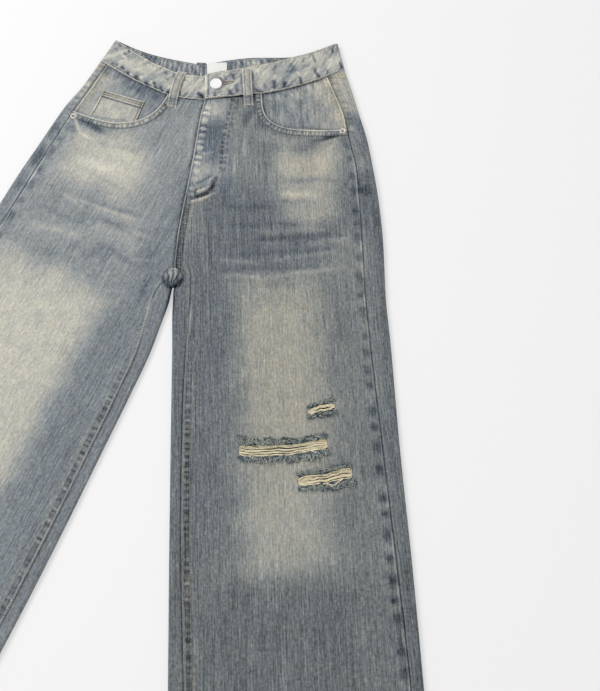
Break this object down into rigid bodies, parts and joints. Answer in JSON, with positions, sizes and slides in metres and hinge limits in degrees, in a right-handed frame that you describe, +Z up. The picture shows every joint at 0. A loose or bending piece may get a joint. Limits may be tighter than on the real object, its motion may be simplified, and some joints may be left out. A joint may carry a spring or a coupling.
{
  "type": "ripped jeans",
  "caption": "Wide-leg ripped jeans in faded streaky denim, lying flat with the front up, with curved pocket mouths, a buttoned waistband and torn slits across one knee.",
  "frame": {"origin": "middle of the garment's outline, on the surface it lies on", "axes": "+Z up out of the front, +Y towards the waist, +X towards the wearer's left leg"},
  "size_m": [0.855, 1.0774, 0.0137],
  "materials": {
    "denim": "faded grey-blue denim with lengthwise slub streaks, pale worn patches, and puckered seams with tan stitching",
    "facing_denim": "the same denim, inside the pocket mouths and on the coin pocket",
    "loose_thread": "cream cotton threads left across the tears, with dark blue frayed ends",
    "button_metal": "plain satin white metal",
    "rivet_metal": "dull worn metal",
    "label_cloth": "blank white woven tape"
  },
  "bodies": {
    "root": {"front_left": "denim", "front_right": "denim", "back_left": "denim", "back_right": "denim", "yoke_left": "denim", "yoke_right": "denim", "waistband_left": "denim", "waistband_right": "denim", "back_pocket_left": "denim", "back_pocket_right": "denim", "belt_loop_front_left": "denim", "belt_loop_front_right": "denim", "belt_loop_back_left": "denim", "belt_loop_back_right": "denim", "belt_loop_back_centre": "denim", "pocket_facing_left": "facing_denim", "pocket_facing_right": "facing_denim", "coin_pocket": "facing_denim", "rip_threads_upper": "loose_thread", "rip_threads_middle": "loose_thread", "rip_threads_lower": "loose_thread", "button": "button_metal", "rivet_left": "rivet_metal", "rivet_right": "rivet_metal", "label": "label_cloth"}
  },
  "joints": []
}
